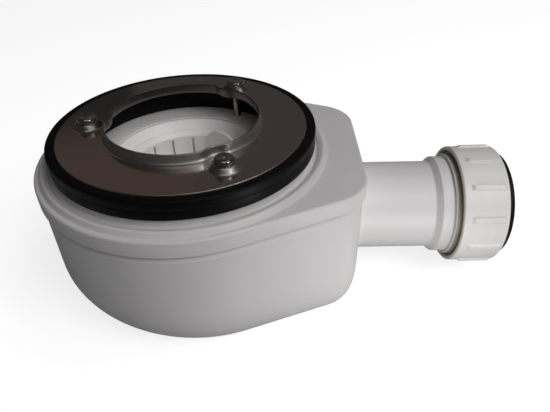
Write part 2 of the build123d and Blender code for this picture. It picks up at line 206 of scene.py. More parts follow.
fine = np.arange(-40, 40, 0.5)
coarse = np.arange(40, 320, 2.0)
AROUND = np.radians(np.concatenate([fine, coarse]))


def tangent_turn(bowl, corner, shift):
    """Direction of the normal of the tangent that joins the bowl's circle and the corner's circle."""
    gap = END_REACH - CORNER - shift
    rise = END_HALF_WIDTH - CORNER
    return np.arctan2(rise, gap) + np.arccos((bowl - corner) / np.hypot(gap, rise))


def plan_radius(bowl_inset, end_inset, bowl_shift):
    """Distance from the waste axis to the outline, for rows of insets and all directions AROUND.

    With the bowl's centre s along X and the corner's centre at distance c in direction f, the
    bowl is s cos(a) + sqrt(R^2 - s^2 sin^2(a)), the tangent (R + s cos(n)) / cos(a - n) for its
    normal n, the corner c cos(a - f) + sqrt(r^2 - c^2 sin^2(a - f)) and the flat end X / cos(a).
    """
    bowl, corner, shift = BOWL - bowl_inset[:, None], CORNER - end_inset[:, None], bowl_shift[:, None]
    side = np.abs((AROUND + np.pi) % (2 * np.pi) - np.pi)[None, :]
    x, y = END_REACH - CORNER, END_HALF_WIDTH - CORNER
    far, facing = np.hypot(x, y), np.arctan2(y, x)
    normal = tangent_turn(bowl, corner, shift)
    end_x = x + corner
    flat_until = np.arctan2(y, end_x)
    corner_until = np.arctan2(y + corner * np.sin(normal), x + corner * np.cos(normal))
    side_until = np.arctan2(bowl * np.sin(normal), shift + bowl * np.cos(normal))
    swing = side - facing
    on_corner = far * np.cos(swing) + np.sqrt(np.maximum(corner**2 - (far * np.sin(swing)) ** 2, 0))
    on_flat = end_x / np.maximum(np.cos(side), 0.1)
    on_side = (bowl + shift * np.cos(normal)) / np.maximum(np.cos(side - normal), 0.1)
    on_bowl = shift * np.cos(side) + np.sqrt(bowl**2 - (shift * np.sin(side)) ** 2)
    choices = [side <= flat_until, side <= corner_until, side <= side_until]
    return np.select(choices, [on_flat, on_corner, on_side], on_bowl)


# %% [markdown]
# ## The tub
#
# The tub is the lower half of the body, moulded in white polypropylene. Its foot rounds in by a
# quarter ellipse, and the bowl's circle shrinks and moves towards the outlet as it does, so that
# the far side rounds most. The outlet end rounds in by a tighter curve. Under the deck's skirt the
# wall steps in to a shallow groove, and above it a tongue hides inside the skirt. The shell is one
# closed grid, from the middle of the underside, up the outside, over the tongue and down the inside.

# %% The tub's shell
WALL = 3.0
FOOT_RISE = 27.0
BOWL_RUN = 17.0
BOWL_SHIFT = 12.5
END_RUN = 11.0
GROOVE_LEVEL = 55.5
GROOVE_INSET = 1.1
WELD_LEVEL = 58.1
TONGUE_LEVEL = 62.8
TONGUE_INSET = 1.6


def foot_rows(wall):
    """Rows (level, bowl inset, end inset, bowl shift) over the foot, for a surface a wall further in.

    With rest = 1 - h / rise, an inset is run * (1 - sqrt(1 - rest^power)): the power is 2 on the
    bowl and 4 at the end, and the bowl's centre moves by its shift in the bowl's own share.
    """
    rest = np.cos(np.linspace(0, np.pi / 2, 26))
    level = FOOT_RISE - (FOOT_RISE - wall) * rest
    share = 1 - np.sqrt(1 - rest**2)
    end_share = 1 - np.sqrt(1 - rest**4)
    return np.stack([level, wall + (BOWL_RUN - wall) * share, wall + (END_RUN - wall) * end_share,
                     BOWL_SHIFT * share], -1)


def wall_rows(level, inset):
    """The same kind of rows where the body is drawn in alike all round and nothing shifts."""
    return np.stack(np.broadcast_arrays(level, inset, inset, 0.0), -1)


def tub_shell():
    """Rows up the outside of the tub, over its groove and tongue and down its inside."""
    climb = wall_rows(np.linspace(FOOT_RISE, GROOVE_LEVEL - 2, 22)[1:], 0.0)
    inset, level = rounded([
        (0, GROOVE_LEVEL - 2, 0), (0, GROOVE_LEVEL - 0.3, 1.2),
        (GROOVE_INSET - 0.1, WELD_LEVEL - 0.6, 0.6), (GROOVE_INSET, WELD_LEVEL, 0.1),
        (TONGUE_INSET, WELD_LEVEL, 0.1), (TONGUE_INSET, TONGUE_LEVEL, 0.2),
        (WALL, TONGUE_LEVEL, 0.2), (WALL, TONGUE_LEVEL - 1, 0),
    ], 6, closed=False)[1:].T
    edge = wall_rows(level, inset)
    drop = wall_rows(np.linspace(TONGUE_LEVEL - 1, FOOT_RISE, 24)[1:-1], WALL)
    outside, inside = foot_rows(0.0), foot_rows(WALL)[::-1]
    rows = np.concatenate([outside[:1], outside, climb, edge, drop, inside, inside[-1:]])
    reach = np.ones((len(rows), 1))
    reach[[0, -1]] = 0.0
    radii = plan_radius(*rows[:, 1:].T) * reach
    return piece_from("tub_shell", [round_waste(radii, rows[:, :1], AROUND)])


tub = tub_shell()

# %% [markdown]
# The pipe needs a way through the end wall. A cylinder 1.2 mm wider in radius than the pipe's bore
# is cut from the shell; its edge hides inside the thickness of the pipe's own wall.

# %% The hole for the outlet
PIPE_BORE = 17.9


def cut(piece, cutter):
    """Take one closed piece away from another and keep the result as a plain mesh."""
    step = piece.modifiers.new("cut", "BOOLEAN")
    step.operation = "DIFFERENCE"
    step.solver = "EXACT"
    step.object = cutter
    graph = bpy.context.evaluated_depsgraph_get()
    result = bpy.data.meshes.new_from_object(piece.evaluated_get(graph))
    piece.modifiers.clear()
    piece.data = result
    result.set_sharp_from_angle(angle=np.radians(40))
    bpy.data.objects.remove(cutter)
    return piece


hole = PIPE_BORE + 1.2
plug = turned("plug", [(66, 0, 0), (66, hole, 0), (80, hole, 0), (80, 0, 0)], 96, round_outlet)
cut(tub, plug)

# %% [markdown]
# ## The weir
#
# A low wall across the tub holds the water at the level that seals the drain. It shows only
# through the outlet. Its section is a thin slab with a round top, drawn from one side wall to the
# other, and its foot and its ends reach halfway into the tub's wall.

# %% The weir
WEIR_NEAR, WEIR_MIDDLE, WEIR_FAR = 52.0, 53.2, 54.5
WEIR_TOP = 52.0


def weir_wall():
    """A section (x, z) carried along Y: y = s (R + (shift - x) cos(n)) / sin(n) for s from -1 to 1.

    That is the tangent wall with the normal n, taken at the weir's middle x and at each height.
    """
    foot = WALL / 2
    section = rounded([(WEIR_NEAR, foot, 0), (WEIR_FAR, foot, 0), (WEIR_FAR, WEIR_TOP, 1.2),
                       (WEIR_NEAR, WEIR_TOP, 1.2)], 6)
    level, *measures = foot_rows(foot).T
    bowl_inset, end_inset, shift = (np.interp(section[:, 1], level, m) for m in measures)
    bowl = BOWL - bowl_inset
    normal = tangent_turn(bowl, CORNER - end_inset, shift)
    half_width = (bowl + (shift - WEIR_MIDDLE) * np.cos(normal)) / np.sin(normal)
    y = np.linspace(-1, 1, 12)[:, None] * half_width
    points = np.stack(np.broadcast_arrays(section[:, 0], y, section[:, 1]), -1)
    middle = points.mean(1, keepdims=True) + 0 * points
    return piece_from("weir", [np.concatenate([middle[:1], points, middle[-1:]])], close_rows=False)


weir = weir_wall()

# %% [markdown]
# ## The outlet pipe and its spigot
#
# The pipe flares where it meets the end wall, as moulded roots do so that they don't crack. At its
# other end it steps out to the spigot and then to the collar where the coarse thread runs in; the
# thread itself lies inside the nut. All of it is one profile, turned about the outlet axis.

# %% The outlet pipe
PIPE = 20.5
THREAD = 25.3
THREAD_PITCH = 3.0
THREAD_DEPTH = 1.0
THREAD_START, THREAD_END = 122.6, 132.8


def outlet_pipe():
    """The pipe's profile turned about the outlet axis, with a helical ridge over the thread.

    On the thread the radius falls by depth * (0.5 - 0.5 cos(2 pi x / pitch - turn))^2, so that
    the crests are broad and the valleys round. The depth grows over the first 1.5 mm.
    """
    along, radius = rounded([
        (74.6, 23.5, 0), (END_REACH, 23.5, 0.1), (END_REACH + 0.001, PIPE, 2.9), (110.9, PIPE, 1.2),
        (113.4, 22.7, 0.9), (118.5, 22.7, 0.15), (118.5, 24.0, 0.3), (122.1, 24.0, 0.1),
        (122.1, THREAD, 0.3), (133.0, THREAD, 0.3), (134.0, 24.3, 0.2), (134.0, 20.3, 0.4),
        (116.0, 20.3, 0.2), (116.0, PIPE_BORE, 0.4), (72.6, PIPE_BORE, 0.3), (72.6, 19.6, 0.1),
        (74.6, 19.6, 0),
    ], 7).T
    first, last = np.flatnonzero((radius > THREAD - 0.3) & (along > THREAD_START))[[0, -1]]
    rows = np.linspace(THREAD_START, THREAD_END, 54)
    along = np.concatenate([along[:first], rows, along[last + 1:]])[:, None]
    radius = np.concatenate([radius[:first], 0 * rows + THREAD, radius[last + 1:]])[:, None]
    turn = lap(160)
    wave = 0.5 - 0.5 * np.cos(2 * np.pi * (along / THREAD_PITCH) - turn)
    depth = THREAD_DEPTH * np.clip((along - THREAD_START) / 1.5, 0, 1) * (radius > THREAD - 0.3)
    return piece_from("outlet_pipe", [round_outlet(radius - depth * wave**2, along, turn)])


pipe = outlet_pipe()

# %% [markdown]
# ## The deck
#
# The deck closes the tub. From its skirt it rounds over to a flat top, then rises in a bead, falls
# into a groove and stands up as the collar that carries the gaskets. Inside the collar lie the
# ledge and the throat for the dip tube. The outer rows follow the body's plan and the inner rows
# are circles; between them one ring of faces makes the flat D-shaped top.

# %% The deck
DECK_LEVEL = 65.7
UNDER_DECK = 62.9
COLLAR_LEVEL = 69.5
LEDGE_LEVEL = 64.4


def deck_shell():
    """Rows of the body's plan for the skirt, then circles for the collar, the ledge and the throat."""
    skirt = rounded([
        (1.5, UNDER_DECK, 0), (1.5, WELD_LEVEL, 0.2), (-1.0, WELD_LEVEL, 0.9),
        (-1.0, DECK_LEVEL, 1.1), (4.0, DECK_LEVEL, 0),
    ], 7, closed=False)[:-1]
    inner = rounded([
        (63.39, DECK_LEVEL, 0.0), (62.55, DECK_LEVEL, 0.9), (61.85, 66.8, 0.7), (61.3, 67.6, 0.7),
        (60.4, 67.85, 1.0), (58.6, 67.0, 0.7), (58.1, 65.95, 0.5), (56.0, 65.95, 0.25),
        (56.0, COLLAR_LEVEL, 0.5), (46.6, COLLAR_LEVEL, 0.4), (46.6, LEDGE_LEVEL, 0.3),
        (33.7, LEDGE_LEVEL, 0.5), (33.7, 54.0, 0.2), (31.0, 54.0, 0.3), (31.0, 52.0, 0.3),
        (36.7, 52.0, 0.3), (36.7, 61.4, 0.4), (49.6, 61.4, 0.3), (49.6, UNDER_DECK, 0.3),
        (60.0, UNDER_DECK, 0),
    ], 6, closed=False)
    skirt_radii = plan_radius(skirt[:, 0], skirt[:, 0], 0 * skirt[:, 0])
    radii = np.concatenate([skirt_radii, inner[:, :1] * np.ones_like(AROUND)])
    levels = np.concatenate([skirt[:, 1:], inner[:, 1:]])
    return piece_from("deck_shell", [round_waste(radii, levels, AROUND)])


deck = deck_shell()

# %% [markdown]
# Under each screw a boss hangs from the ledge and holds the brass insert. It shows only from
# inside the tub.

# %% The screw bosses
SCREW_CIRCLE = 41.2
screw_turns = np.radians([60, 180, 300])
SCREW_PLACES = SCREW_CIRCLE * np.stack([np.cos(screw_turns), np.sin(screw_turns), 0 * screw_turns], -1)


def screw_bosses():
    """A closed profile (level, radius) turned about each screw's own axis."""
    level, radius = rounded([
        (52.4, 0, 0), (52.4, 5.45, 0.6), (62.5, 5.45, 0), (62.5, 3.05, 0), (56.1, 3.05, 0),
        (56.1, 2.25, 0), (54.4, 2.25, 0), (54.4, 0, 0),
    ]).T[..., None]
    boss = round_waste(radius, level, lap(40))
    return piece_from("screw_bosses", [boss + place for place in SCREW_PLACES])


bosses = screw_bosses()

# %% [markdown]
# ## Two rubber gaskets
#
# The tray is clamped between two black rubber rings. The lower one lies on the collar and lines the
# recess inside it, and the upper one frames the steel plate with a low lip. Their outer edges are
# soft, because rubber leaves its mould with a radius.

# %% The gaskets
GASKET = 57.1
GASKET_BORE = 45.0
TRAY_LEVEL = 73.7
PLATE_FOOT = 77.0

lower_gasket = turned("lower_gasket_ring", [
    (LEDGE_LEVEL, GASKET_BORE, 0.2), (LEDGE_LEVEL, 46.5, 0.2), (COLLAR_LEVEL, 46.5, 0.1),
    (COLLAR_LEVEL, GASKET, 0.5), (TRAY_LEVEL, GASKET, 0.25), (TRAY_LEVEL, GASKET_BORE, 0.3),
], 256)
upper_gasket = turned("upper_gasket_ring", [
    (TRAY_LEVEL, GASKET_BORE, 0.3), (TRAY_LEVEL, GASKET, 0.25), (77.7, GASKET, 0.9),
    (77.7, 53.4, 0.25), (PLATE_FOOT, 53.4, 0.1), (PLATE_FOOT, GASKET_BORE, 0.3),
], 256)

# %% [markdown]
# ## The steel clamp plate
#
# One stamping of stainless sheet carries the rim round the opening. The opening is a circle that
# steps inwards round each screw, so its edge is drawn in polar form from three pieces: the base
# circle, a scallop about each screw and a blend arc between them. Insetting every radius by the
# same amount keeps the wall of the rim evenly thick. Under each screw head the sheet is pushed up
# into a dimple, which is a smooth step in height over the distance to the screw.

# %% The opening's edge in polar form
RIM = 33.4
SCALLOP = 9.6
BLEND = 6.0


def opening_radius(inset, turn):
    """Distance from the waste axis to the opening's edge, drawn in by insets, for all directions.

    With s the turn to the nearest screw at distance c, the edge is c cos(s) - sqrt(q^2 - c^2 sin^2 s)
    on the scallop q, then d cos(s - lean) + sqrt(f^2 - d^2 sin^2(s - lean)) on the blend f, whose
    centre lies at distance d = r - f in the direction lean, and r on the base circle.
    """
    base, near, blend = (size[:, None] for size in (RIM - inset, SCALLOP + inset, BLEND - inset))
    off = RIM - BLEND
    swing = np.abs(turn % (2 * np.pi / 3) - np.pi / 3)[None, :]
    lean = np.arccos((off**2 + SCREW_CIRCLE**2 - (near + blend) ** 2) / (2 * off * SCREW_CIRCLE))
    reach_x = off * np.cos(lean) - SCREW_CIRCLE
    reach_y = off * np.sin(lean)
    share = near / np.hypot(reach_x, reach_y)
    touch = np.arctan2(reach_y * share, SCREW_CIRCLE + reach_x * share)
    room = np.maximum(near**2 - (SCREW_CIRCLE * np.sin(swing)) ** 2, 0)
    on_scallop = SCREW_CIRCLE * np.cos(swing) - np.sqrt(room)
    room = np.maximum(blend**2 - (off * np.sin(swing - lean)) ** 2, 0)
    on_blend = off * np.cos(swing - lean) + np.sqrt(room)
    return np.select([swing <= touch, swing <= lean], [on_scallop, on_blend], base)


# %% The plate
PLATE = 53.2
PLATE_LEVEL = 78.0
RIM_LEVEL = 82.2
RIM_WALL = 0.8
DIMPLE_REACH, DIMPLE_RUN, DIMPLE_RISE = 6.4, 1.8, 2.4


def dimple(x, y, grow):
    """Height of the pressed cone: rise * t, t = (reach + grow - distance) / run kept within 0..1.

    The limits are drawn as log(1 + exp(18 t)) / 18, which rounds the foot and the brim of the cone.
    """
    gap = np.min([np.hypot(x - a, y - b) for a, b, _ in SCREW_PLACES], axis=0)
    t = (DIMPLE_REACH + grow - gap) / DIMPLE_RUN
    return DIMPLE_RISE * (np.logaddexp(0, 18 * t) - np.logaddexp(0, 18 * (t - 1))) / 18


def plate_shell():
    """Rows over the outer edge, across the top, over the rim and back under the plate.

    The columns stand closer together near each screw. Under the plate a dimple is 0.5 mm smaller.
    """
    third = np.concatenate([np.arange(-14, 14, 0.4), np.arange(14, 106, 1.5)])
    turn = np.radians(np.concatenate([60 + 120 * k + third for k in range(3)]))
    edge = rounded([(-1, PLATE_FOOT, 0), (0, PLATE_FOOT, 0.3), (0, PLATE_LEVEL, 0.4),
                    (-1, PLATE_LEVEL, 0)], 5, closed=False)[1:-1]
    rim = rounded([(-3, PLATE_LEVEL, 0), (0, PLATE_LEVEL, 2.0), (0, RIM_LEVEL, 0.35),
                   (RIM_WALL, RIM_LEVEL, 0.35), (RIM_WALL, PLATE_FOOT, 2.6), (-3, PLATE_FOOT, 0)],
                  9, closed=False)[1:-1]
    edge_radii = PLATE + edge[:, :1] * np.ones_like(turn)
    rim_radii = opening_radius(rim[:, 0], turn)
    across = np.linspace(0, 1, 50)[1:-1, None]
    top = edge_radii[-1:] * (1 - across) + rim_radii[:1] * across
    below = (edge_radii[:1] * (1 - across) + rim_radii[-1:] * across)[::-2]
    radii = np.concatenate([edge_radii, top, rim_radii, below])
    flat = np.concatenate([edge[:, 1], np.full(len(top), PLATE_LEVEL), rim[:, 1],
                           np.full(len(below), PLATE_FOOT)])[:, None]
    under = (np.arange(len(radii)) >= len(radii) - len(below))[:, None]
    level = flat + dimple(radii * np.cos(turn), radii * np.sin(turn), np.where(under, -0.5, 0.0))
    return piece_from("steel_plate", [round_waste(radii, level, turn)], crease=50)


plate = plate_shell()

# %% [markdown]
# ## The plate screws
#
# Three pan-head screws hold the plate down. Each head is a height over the distance from its own
# axis, with the cross recess pressed into it: the depth falls off over a quarter of a millimetre at
# the cross's edge, as a forged recess does. The shank below carries a fine metric thread.

# %% The screw heads
HEAD_FOOT = 80.4
HEAD_HEIGHT = 2.6
HEAD_FLAT, HEAD_ROUND = 2.5, 1.7
CROSS_REACH, CROSS_HALF_WIDTH, CROSS_EDGE, CROSS_DEPTH = 2.1, 0.45, 0.25, 1.3


def screw_head(turn):
    """Head z = foot + height - round(r) - 0.12 (r / flat)^2 - depth of the cross at (x, y).

    The round brim falls by q (1 - sqrt(1 - ((r - flat) / q)^2)), q its radius, and it ends 0.6 mm
    over the foot.
    """
    brim = HEAD_ROUND * np.sin(np.linspace(0, np.pi / 2, 14)[1:])
    radius = np.concatenate([np.linspace(0, HEAD_FLAT, 24), HEAD_FLAT + brim])[:, None]
    share = np.maximum(radius - HEAD_FLAT, 0) / HEAD_ROUND
    fall = HEAD_ROUND * (1 - np.sqrt(np.clip(1 - share**2, 0, 1)))
    x, y = np.abs(radius * np.cos(turn)), np.abs(radius * np.sin(turn))
    along_x = np.maximum(x - CROSS_REACH, y - CROSS_HALF_WIDTH)
    along_y = np.maximum(y - CROSS_REACH, x - CROSS_HALF_WIDTH)
    sunk = np.clip(0.2 - np.minimum(along_x, along_y) / CROSS_EDGE, 0, 1)
    level = HEAD_FOOT + HEAD_HEIGHT - fall - 0.12 * (radius / HEAD_FLAT) ** 2 - CROSS_DEPTH * sunk
    return round_waste(radius, np.maximum(level, HEAD_FOOT + 0.6), turn)


# %% The shanks, and the three screws
SHANK = 2.0
SCREW_END = 55.4
SCREW_PITCH, SCREW_DEPTH = 0.7, 0.25


def screw_shank(turn):
    """The head's side and foot, then the shank down to its blunt end.

    On the thread the radius falls by depth * (0.5 - 0.5 cos(2 pi z / pitch - turn)).
    """
    rows = np.arange(HEAD_FOOT - 0.2, SCREW_END + 0.5, -0.14)
    level = [HEAD_FOOT + 0.2, HEAD_FOOT, HEAD_FOOT, *rows, SCREW_END, SCREW_END]
    radius = [4.2, 4.05, SHANK, *(0 * rows + SHANK), 1.5, 0.0]
    level, radius = np.array([level, radius])[..., None]
    threaded = (level < 76.5) & (level > SCREW_END + 0.1)
    wave = 0.5 - 0.5 * np.cos(2 * np.pi * level / SCREW_PITCH - turn)
    return round_waste(radius - SCREW_DEPTH * threaded * wave, level, turn)


screw = np.concatenate([screw_head(lap(72)), screw_shank(lap(72))])
print("points in one screw:", screw.shape[0] * screw.shape[1])
screw_set = piece_from("pan_head_screws", [screw + place for place in SCREW_PLACES], False, 35)

# %% [markdown]
# ## The dip tube and the hair basket
#
# The dip tube is a plain turning: a long tube whose funnel head rests in the throat. The basket
# hangs in the funnel by a conical lip. Its cup is turned too, and its sixteen slots and its drain
# holes are cut with one set of boxes and pins, which is shorter than working the holes into the
# grid and leaves clean corners.

# %% The dip tube
dip_tube = turned("dip_tube_funnel", [
    (10.0, 27.2, 0.4), (10.0, 29.0, 0.4), (54.0, 29.0, 0.3), (54.0, 33.5, 0.3), (56.2, 33.5, 0.2),
    (56.2, 31.1, 0.2), (59.3, 31.1, 0.2), (59.3, 33.5, 0.2), (63.8, 33.5, 0.35), (63.8, 32.6, 0.35),
    (58.1, 27.2, 0.6),
], 200)

# %% Closed prisms to cut with
def prism(plan, place, foot, head):
    """The grid of a closed prism: a plan outline at its (x, y, turn), from a foot to a head level."""
    x, y, turn = place
    across = x + plan[:, 0] * np.cos(turn) - plan[:, 1] * np.sin(turn)
    up = y + plan[:, 0] * np.sin(turn) + plan[:, 1] * np.cos(turn)
    middle_x, middle_y = across.mean() + 0 * across, up.mean() + 0 * up
    rows = [(middle_x, middle_y, foot), (across, up, foot), (across, up, head),
            (middle_x, middle_y, head)]
    return np.stack([np.stack([a, b, 0 * a + level], -1) for a, b, level in rows])


# %% The hair basket
BASKET = 26.9
SLOT_TURNS = np.radians(3.75 + 22.5 * np.arange(16))
SLOT_LEVELS = 40.5, 57.0
SLOT_HALF_WIDTH = 0.6
HOLE_RADIUS = 2.0
HOLE_RINGS = (1, 0.0), (6, 9.0), (12, 18.0)
HOLE_LEVELS = 35.0, 38.6


def basket_cup():
    """The cup turned from its profile, less the slots and the rings of drain holes."""
    cup = turned("hair_basket_cup", [
        (36.0, 0, 0), (36.0, BASKET, 1.0), (57.98, BASKET, 0.6), (59.78, 28.6, 0.3), (60.58, 28.6, 0.35),
        (60.58, 27.6, 0.35), (58.33, 25.5, 0.8), (37.6, 25.5, 1.2), (37.6, 0, 0),
    ], 200)
    bar = np.array([[-3, -1], [3, -1], [3, 1], [-3, 1]]) * (1, SLOT_HALF_WIDTH)
    pin = HOLE_RADIUS * np.stack([np.cos(lap(20)), np.sin(lap(20))], -1)
    slots = [(BASKET * np.cos(a), BASKET * np.sin(a), a) for a in SLOT_TURNS]
    holes = [(radius * np.cos(a), radius * np.sin(a), 0.0)
             for count, radius in HOLE_RINGS for a in np.radians(360 / count * np.arange(count))]
    cutters = [prism(bar, place, *SLOT_LEVELS) for place in slots]
    cutters += [prism(pin, place, *HOLE_LEVELS) for place in holes]
    return cut(cup, piece_from("slot_cutters", cutters, close_rows=False))


basket = basket_cup()

# %% [markdown]
# A half-round tab on the basket's wall gives the fingers something to pull. It is a flat disc
# segment whose edge is rounded over the outer half millimetre of both faces.

# %% The finger tab
TAB = 10.2
TAB_BASE, TAB_MIDDLE = -3.2, 3.0
TAB_HALF_THICKNESS = 0.8
TAB_OUT, TAB_LEVEL, TAB_TURN = 23.9, 53.2, np.radians(56)


def finger_tab():
    """An outline scaled about its middle, row by row, through the tab's thickness with round edges."""
    start = np.arcsin(TAB_BASE / TAB)
    arc = np.linspace(start, np.pi - start, 60)
    outline = TAB * np.stack([np.cos(arc), np.sin(arc)], -1)
    base = np.linspace(outline[-1], outline[0], 20)[1:-1]
    outline = np.concatenate([outline, base]) - (0, TAB_MIDDLE)
    lip = np.linspace(0, np.pi / 2, 5)
    face, share = TAB_HALF_THICKNESS - 0.5 * (1 - np.cos(lip)), 1 - 0.06 * (1 - np.sin(lip))
    depth = np.concatenate([[-TAB_HALF_THICKNESS], -face, face[::-1], [TAB_HALF_THICKNESS]])[:, None]
    scale = np.concatenate([[0], share, share[::-1], [0]])[:, None]
    side, out = scale * outline[:, 0], TAB_OUT + depth
    x = out * np.cos(TAB_TURN) - side * np.sin(TAB_TURN)
    y = out * np.sin(TAB_TURN) + side * np.cos(TAB_TURN)
    level = TAB_LEVEL + TAB_MIDDLE + scale * outline[:, 1]
    return piece_from("finger_tab", [np.stack([x, y, level], -1)], close_rows=False)


tab = finger_tab()

# %% [markdown]
# ## The compression nut and its seal
#
# The nut is turned about the outlet axis, and twelve ribs for the grip stand on it. A rib is a
# height over the angle times a height over the length, so the columns are set close together on the
# ribs' flanks and far apart between them. The black lip seal stands a little out of the nut's end.

# %% The nut
NUT = 27.3
RIBS = 12
RIB_HEIGHT = 0.8
FIRST_RIB = 10


def nut_shell():
    """Profile radius + height * s(flank) * s(ends), where s(f) = 3 f^2 - 2 f^3 rounds both slopes.

    Flank falls from 1 to 0 between 2.1 and 3.1 degrees from a rib's middle. Ends rises from 0 to 1
    over the first 2.0 mm of a rib and falls again over its last 1.6 mm.
    """
    offsets = np.array([1.0, 1.7, 2.0, 2.25, 2.5, 2.75, 3.0, 3.3, 3.8, 4.8, 6.5, 9.0, 12.0])
    one = np.concatenate([-offsets[::-1], [0], offsets, [15]])
    turn = np.radians((FIRST_RIB + 360 / RIBS * np.arange(RIBS)[:, None] + one).ravel())
    profile = rounded([
        (120.8, 25.4, 0.5), (120.8, NUT, 0.8), (123.9, NUT, 0), (125.9, NUT, 0), (138.1, NUT, 0),
        (139.7, NUT, 0), (140.9, NUT, 1.0), (140.9, 24.7, 0.5), (138.4, 24.7, 0.1), (138.4, 25.4, 0),
    ], 6)
    extra = [np.linspace(profile[k], profile[k + 1], 7)[:-1] for k in range(len(profile) - 1)]
    along, radius = np.concatenate(extra + [profile[-1:]]).T[..., None]
    pitch = 2 * np.pi / RIBS
    swing = np.degrees(np.abs((turn - np.radians(FIRST_RIB) + pitch / 2) % pitch - pitch / 2))
    flank = np.clip(3.1 - swing, 0, 1)
    ends = np.clip(np.minimum((along - 123.9) / 2.0, (139.7 - along) / 1.6), 0, 1)
    rib = [3 * f**2 - 2 * f**3 for f in (flank, ends)]
    reach = radius + RIB_HEIGHT * rib[0] * rib[1] * (radius > NUT - 0.3)
    return piece_from("ribbed_nut", [round_outlet(reach, along, turn)], crease=35)


nut = nut_shell()
seal = turned("lip_seal_ring", [
    (136.0, 20.9, 0.2), (137.3, 20.9, 0.2), (138.0, 20.35, 0.25), (138.7, 20.9, 0.2), (141.3, 20.9, 0.2),
    (142.0, 20.35, 0.25), (142.7, 20.9, 0.2), (144.0, 20.9, 0.4), (144.0, 24.5, 1.0), (138.3, 24.5, 0.2),
    (138.3, 25.2, 0.2), (136.0, 25.2, 0.2),
], 200, round_outlet)

# %% [markdown]
# ## Materials
#
# One function turns a written colour into light values and one adds a node, so each material below
# reads as a list of its own features. Every pattern is scaled from a size in millimetres: noise of
# scale 1000 / s on Object coordinates in metres has features about s millimetres wide.

# %% Helpers for materials
def colour(code):
    """An sRGB hex colour as linear light: ((c + 0.055) / 1.055)^2.4, or c / 12.92 below 0.04045."""
    c = np.array([int(code[k:k + 2], 16) for k in (1, 3, 5)]) / 255
    linear = np.where(c <= 0.04045, c / 12.92, ((c + 0.055) / 1.055) ** 2.4)
    return tuple(linear) + (1.0,)


def add_node(tree, kind, inputs, **settings):
    """Add a node, set its options, and set or link its inputs: a socket is linked, a value is set."""
    new = tree.nodes.new(kind)
    for option, value in settings.items():
        setattr(new, option, value)
    for socket, value in inputs.items():
        if isinstance(value, bpy.types.NodeSocket):
            tree.links.new(value, new.inputs[socket])
        else:
            new.inputs[socket].default_value = value
    return new


def new_material(name):
    """A material and its empty node tree."""
    material = bpy.data.materials.new(name)
    material.use_nodes = True
    material.node_tree.nodes.clear()
    print("material:", name)
    return material, material.node_tree


def object_place(tree):
    """The place on the object in metres, which every pattern below is laid out on."""
    return add_node(tree, "ShaderNodeTexCoord", {}).outputs["Object"]


def finish_material(tree, shader):
    """Join a shader to the material's output."""
    add_node(tree, "ShaderNodeOutputMaterial", {"Surface": shader.outputs[0]})


def per_mm(size):
    """Noise scale on coordinates in metres for features of a size in millimetres."""
    return 1000.0 / size


# %% [markdown]
# ### Moulded polypropylene
#
# The body is injection-moulded polypropylene, white with a grain so fine that it reads as satin.
# Its colour drifts slightly where the melt flowed, and broad faint waves break the highlight, as
# they do on any moulded wall. The real grain is about 0.05 mm; it is drawn 0.9 mm wide, because a
# finer one would vanish in the render. The nut and the inserts come from smoother moulds. Painted
# shade lies on the thread beside the nut, olive, and on the nut's end face over it, warm: it stands
# for the shade of the narrow gap between them.

# %% Moulded polypropylene
def moulded_polypropylene(name, pale, deep, roughness, grain, painted_shade=None):
    """White moulding: colour drift of 40 mm, waves of 14 mm and a grain of 0.9 mm in the bump.

    A painted shade is a stretch (from, to, colour) along X in millimetres over which the white
    takes a colour that stands for the shade in a gap.
    """
    material, tree = new_material(name)
    place = object_place(tree)
    flow = add_node(tree, "ShaderNodeTexNoise", {"Vector": place, "Scale": per_mm(40), "Detail": 3.0})
    tint = add_node(tree, "ShaderNodeMix", {
        "Factor": flow.outputs["Fac"], 6: colour(deep), 7: colour(pale)}, data_type="RGBA")
    # Painted shade: over a stretch of X the white turns to a darker or warmer colour.
    if painted_shade:
        split = add_node(tree, "ShaderNodeSeparateXYZ", {"Vector": place})
        share = add_node(tree, "ShaderNodeMapRange", {
            "Value": split.outputs["X"], "From Min": painted_shade[0] * MM, "From Max": painted_shade[1] * MM})
        tint = add_node(tree, "ShaderNodeMix", {
            "Factor": share.outputs[0], 6: tint.outputs[2], 7: colour(painted_shade[2])}, data_type="RGBA")
    wave = add_node(tree, "ShaderNodeTexNoise", {"Vector": place, "Scale": per_mm(14), "Detail": 1.0})
    sand = add_node(tree, "ShaderNodeTexNoise", {"Vector": place, "Scale": per_mm(0.9), "Detail": 2.0})
    broad = add_node(tree, "ShaderNodeBump", {
        "Height": wave.outputs["Fac"], "Strength": 0.25, "Distance": 0.6 * MM})
    fine = add_node(tree, "ShaderNodeBump", {
        "Height": sand.outputs["Fac"], "Strength": grain, "Distance": 0.05 * MM,
        "Normal": broad.outputs[0]})
    gloss = add_node(tree, "ShaderNodeMapRange", {
        "Value": flow.outputs["Fac"], "From Min": 0.3, "From Max": 0.7,
        "To Min": roughness - 0.04, "To Max": roughness + 0.05})
    shader = add_node(tree, "ShaderNodeBsdfPrincipled", {
        "Base Color": tint.outputs[2], "Roughness": gloss.outputs[0], "IOR": 1.49,
        "Normal": fine.outputs[0]})
    finish_material(tree, shader)
    return material


body_white = moulded_polypropylene("satin_polypropylene", "#d8d5d5", "#d3d1d1", 0.42, 0.5)
# The olive stretch on the thread is painted shade of the gap inside the nut's end.
pipe_white = moulded_polypropylene("polypropylene_with_painted_shade", "#e4e1e1", "#dedcdc", 0.4, 0.4,
                                   (118.2, 119.8, "#8e8b81"))
insert_white = moulded_polypropylene("smooth_polypropylene", "#f3f1f0", "#eeecea", 0.32, 0.2)
# The warm stretch on the nut's end face is painted shade of the same gap.
nut_white = moulded_polypropylene("glossy_polypropylene", "#ecebe9", "#e6e5e3", 0.28, 0.2,
                                  (121.5, 121.0, "#e4dccb"))

# %% [markdown]
# ### Black rubber
#
# The gaskets are moulded black rubber. Fresh from the mould it is nearly black with a soft broad
# gloss, and handling leaves it a little dull in patches.

